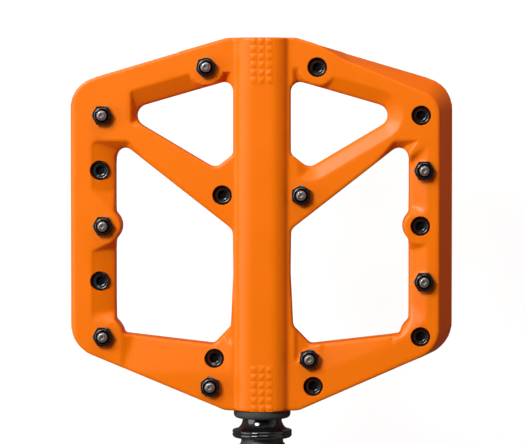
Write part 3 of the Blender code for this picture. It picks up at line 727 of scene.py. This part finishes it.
def spindlePiece():
    shape = spindleShape
    low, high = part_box("spindle")
    endY, tipY = low.y / mm, high.y / mm
    neck, rim, thick, groove = shape["neck"], shape["flange"], shape["flangeThick"], shape["grooveY"]
    lock, lockRoot, lockEnd, seat = shape["lock"], shape["lockRoot"], shape["lockEnd"], shape["seat"]
    profile = [(2.3, tipY), (lockRoot, tipY - 0.15), (lock, tipY - 0.5)]
    for turn in range(shape["lockTurns"]):
        y = tipY - 0.8 - turn * shape["lockPitch"]
        profile += [(lock, y), (lockRoot, y - 0.25)]
    profile += [(lock, lockEnd), (lock + 0.1, lockEnd - 0.1), (seat, lockEnd - 0.3),
                (seat, shape["seatEnd"]), (shape["taperHigh"] - 0.2, shape["seatEnd"]),
                (shape["taperHigh"], shape["seatEnd"] - 0.2), (shape["taperLow"], shape["taperEnd"]),
                (neck - 0.1, shape["neckEnd"] + 0.2), (neck, shape["neckEnd"])]
    for step in range(shape["flareSteps"] + 1):     # concave flare from the neck out to the flange
        angle = math.pi / 2 * step / shape["flareSteps"]
        profile.append((neck + shape["flareRadius"] * (1 - math.cos(angle)),
                        thick + shape["flareRise"] * (1 - math.sin(angle))))
    profile += [(rim - 0.16, thick - 0.07), (rim - 0.05, thick - 0.2), (rim, thick - 0.36),
                (rim, groove + 0.28), (rim - 0.06, groove + 0.16), (rim - 0.17, groove),
                (rim - 0.06, groove - 0.16), (rim, groove - 0.28), (rim, 0.68), (rim - 0.06, 0.5),
                (rim - 0.42, 0.1), (rim - 0.56, 0.0), (shape["face"], 0.0),
                (shape["face"], shape["undercut"]), (shape["relief"], shape["undercut"]),
                (shape["relief"], shape["threadStart"] + 0.3)]
    rows, start = shape["threadRows"], shape["threadStart"]
    for row in range(rows + 1):
        profile.append((shape["root"], start + (endY - start) * row / rows))
    profile.append((shape["mouth"], endY))

    def helix(angle, height):                  # V thread, faded out at both ends
        y = height / mm
        if y > start or y < endY + 0.001:
            return 0.0
        turn = (y / shape["pitch"] + angle / (2 * math.pi)) % 1.0
        wave = min(1.0, 1.25 * (1 - abs(2 * turn - 1)))
        fade = min(1.0, (start - y) / 0.7, (y - endY) / 0.9)
        return wave * fade * (shape["thread"] - shape["root"]) * mm
    piece = newPiece("spindleTurned", turnedMesh(profile, 72, helix))
    piece.data.transform(alongAxle)
    hexKey = hexMesh(shape["keyFlats"], -shape["keyReach"], 0.0)
    hexKey.transform(alongAxle)
    boolean(piece, tool(hexKey))
    smoothed(piece, 32)
    dress(piece.data, "spindle", "thread")
    for face in piece.data.polygons:
        if face.center.y < 0.1 * mm:           # the flange's crank face and the thread
            face.material_index = 1
    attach(piece, "axle")
    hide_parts("spindle")
    print("spindle done")


def turnedPiece(name, node, bodyName, finish, profile, closed=True):
    mesh = turnedMesh(profile, 72, None, closed)
    mesh.transform(alongAxle)
    dress(mesh, finish)
    piece = newPiece(name, mesh)
    smoothed(piece)
    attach(piece, bodyName)
    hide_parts(node)
    return piece


seal = {"bore": 6.05, "spigot": 6.75, "gap": 0.12, "edge": 0.1, "round": 1.3, "roundSteps": 6, "lip": 0.3}


def sealPiece():                               # lipped ring between body and flange
    low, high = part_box("inboard_seal")
    front, back = low.y / mm, high.y / mm
    rim, face = high.x / mm, body["inboardY"] - seal["gap"]
    inner, spigot, edge, lip = seal["bore"], seal["spigot"], seal["edge"], seal["lip"]
    profile = [(inner, back), (spigot, back), (spigot, face), (rim - edge, face), (rim, face - edge),
               (rim, front + seal["round"] + 0.05)]
    for step in range(1, seal["roundSteps"] + 1):
        angle = math.pi / 2 * step / seal["roundSteps"]
        profile.append((rim - seal["round"] * (1 - math.cos(angle)),
                        front + seal["round"] * (1 - math.sin(angle))))
    profile += [(inner + 0.85, front), (inner + 0.7, front + lip), (inner + lip, front + lip),
                (inner, front + edge)]
    turnedPiece("sealRing", "inboard_seal", "platform", "rubber", profile)
    print("seal done")


cap = {"ringInner": 3.9, "ringOuter": 5.8, "ringDeep": 0.25, "edge": 0.1, "groove": 6.15,
       "grooveLow": 116.2, "grooveHigh": 117.5, "threadTop": 115.8, "threadPitch": 0.7, "threadDepth": 0.2,
       "plainSkirt": 1.2, "hollow": 6.25, "hollowTop": 113.0, "key": 6.0, "keyFloor": 115.4, "keyTop": 125.0}


def capPiece():                                # screwed end cap with a hex socket and an O-ring groove
    low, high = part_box("end_cap")
    face, skirt, wall = high.y / mm, low.y / mm, high.x / mm
    edge, root, sunk = cap["edge"], cap["groove"], face - cap["ringDeep"]
    grooveLow, grooveHigh, ringOuter = cap["grooveLow"], cap["grooveHigh"], cap["ringOuter"]
    profile = [(cap["ringInner"], face), (cap["ringInner"] + 0.2, sunk), (ringOuter - 0.2, sunk),
               (ringOuter, face), (wall - 0.35, face), (wall - edge, face - edge), (wall, face - 0.35),
               (wall, grooveHigh + edge), (wall - edge, grooveHigh), (root, grooveHigh), (root, grooveLow),
               (wall - edge, grooveLow), (wall, grooveLow - edge)]
    y = cap["threadTop"]
    while y > skirt + cap["plainSkirt"]:
        profile += [(wall, y), (wall - cap["threadDepth"], y - cap["threadPitch"] / 2)]
        y -= cap["threadPitch"]
    profile += [(wall - cap["threadDepth"], skirt), (cap["hollow"], skirt),
                (cap["hollow"], cap["hollowTop"])]
    piece = turnedPiece("endCapTurned", "end_cap", "platform", "cap", profile, closed=False)
    key = hexMesh(cap["key"], cap["keyFloor"], cap["keyTop"])
    key.transform(alongAxle)
    boolean(piece, tool(key))
    smoothed(piece, 32)
    print("end cap done")


carried = {
    "glide_bushing": "plastic", "ball_cage": "plastic", "cap_o_ring": "rubber",
    "bearing_outer_ring": "steel", "bearing_inner_ring": "steel", "bearing_shield_inboard": "steel",
    "bearing_shield_outboard": "steel", "axle_washer": "steel", "axle_lock_nut": "steel",
}


def finishCarriedNodes():                      # inner nodes keep their shape and get real finishes
    for node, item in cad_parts.items():
        finish = "steel" if node.startswith("bearing_ball") else carried.get(node)
        if finish:
            dress(item.data, finish)
    print("inner pieces finished")


studio = {                                     # places and sizes in millimetres
    "cameraPlace": (20.3, 91.8, 780.0), "aim": (0.1, 64.3, 0.0), "lens": 179.4, "clipStart": 10,
    "keyPlace": (-594, 669, 1008), "keySize": 540, "keyPower": 17.2,
    "sidePlace": (-640, 60, 290), "sideSize": 560, "sidePower": 1.7,
    "backPlace": (60, 700, 260), "backSize": 420, "backPower": 1.6,
    "horizon": 0.36, "horizonEnd": 0.25, "zenith": 0.01, "zenithStart": 0.8, "skyTint": (1.0, 0.5, 0.3, 1),
    "floorHalf": 3000, "floorThick": 10, "floorDepth": 62, "floorGlow": 0.93,
    "floorShade": (0.15, 0.15, 0.15, 1), "floorBounce": (0.62, 0.2, 0.04, 1),
    "floorMirror": (0.13, 0.12, 0.11, 1),
}


def aimed(item, target):                       # looks at the target with the outboard end upward
    back = (item.location - target).normalized()
    right = Vector((0, 1, 0)).cross(back).normalized()
    item.rotation_euler = Matrix((right, back.cross(right), back)).transposed().to_euler()


def paleFloor():                               # seen as a lit white sweep, bounces little light up
    look = Finish("paleFloor")
    inView = look.node("ShaderNodeLightPath", output="Is Camera Ray")
    inMirror = look.node("ShaderNodeLightPath", output="Is Glossy Ray")
    glow = look.node("ShaderNodeEmission", {}, {"Strength": studio["floorGlow"]})
    shade, bounce, mirror = [look.node("ShaderNodeBsdfDiffuse", {}, {"Color": studio[name]})
                             for name in ("floorShade", "floorBounce", "floorMirror")]
    lit = look.node("ShaderNodeAddShader", {}, {0: glow, 1: shade})
    unseen = look.node("ShaderNodeMixShader", {}, {0: inMirror, 1: bounce, 2: mirror})
    result = look.node("ShaderNodeMixShader", {}, {0: inView, 1: unseen, 2: lit})
    look.tree.links.new(result.socket, look.tree.nodes["Material Output"].inputs["Surface"])
    return look.material


def studioSky():                               # bright round the horizon, dark overhead, warm on matt faces
    world = bpy.data.worlds.new("studio")
    bpy.context.scene.world = world
    world.use_nodes = True
    nodes, links = world.node_tree.nodes, world.node_tree.links
    background = nodes["Background"]
    axes = nodes.new("ShaderNodeSeparateXYZ")
    links.new(nodes.new("ShaderNodeTexCoord").outputs["Generated"], axes.inputs[0])
    shade = nodes.new("ShaderNodeMapRange")
    for socket, name in (("From Min", "horizonEnd"), ("From Max", "zenithStart"), ("To Min", "horizon"),
                         ("To Max", "zenith")):
        shade.inputs[socket].default_value = studio[name]
    links.new(axes.outputs["Z"], shade.inputs["Value"])
    links.new(shade.outputs[0], background.inputs["Strength"])
    tint = nodes.new("ShaderNodeMix")
    tint.data_type = "RGBA"
    tint.inputs["A"].default_value = (1, 1, 1, 1)
    tint.inputs["B"].default_value = studio["skyTint"]
    links.new(nodes.new("ShaderNodeLightPath").outputs["Is Diffuse Ray"], tint.inputs["Factor"])
    links.new(tint.outputs["Result"], background.inputs["Color"])


def buildStudio():
    target = Vector(studio["aim"]) * mm
    cameraData = bpy.data.cameras.new("camera")
    cameraData.lens = studio["lens"]
    cameraData.clip_start = studio["clipStart"] * mm
    camera = bpy.data.objects.new("camera", cameraData)
    bpy.context.scene.collection.objects.link(camera)
    camera.location = Vector(studio["cameraPlace"]) * mm
    aimed(camera, target)
    bpy.context.scene.camera = camera
    for name in ("key", "side", "back"):
        lightData = bpy.data.lights.new(name, "AREA")
        lightData.shape = "DISK"
        lightData.size = studio[name + "Size"] * mm
        lightData.energy = studio[name + "Power"]
        light = bpy.data.objects.new(name, lightData)
        bpy.context.scene.collection.objects.link(light)
        light.location = Vector(studio[name + "Place"]) * mm
        aimed(light, target)
    studioSky()
    bpy.context.scene.view_settings.view_transform = "Standard"
    half = studio["floorHalf"]
    square = scaled([(-half, -half), (half, -half), (half, half), (-half, half)])
    floor = newPiece("floor", prism(square, -studio["floorThick"] * mm, 0.0))
    floor.data.materials.append(paleFloor())
    floor.location.z = -studio["floorDepth"] * mm
    print("studio done")


buildStudio()
platformBody()
gripPins()
spindlePiece()
sealPiece()
capPiece()
finishCarriedNodes()
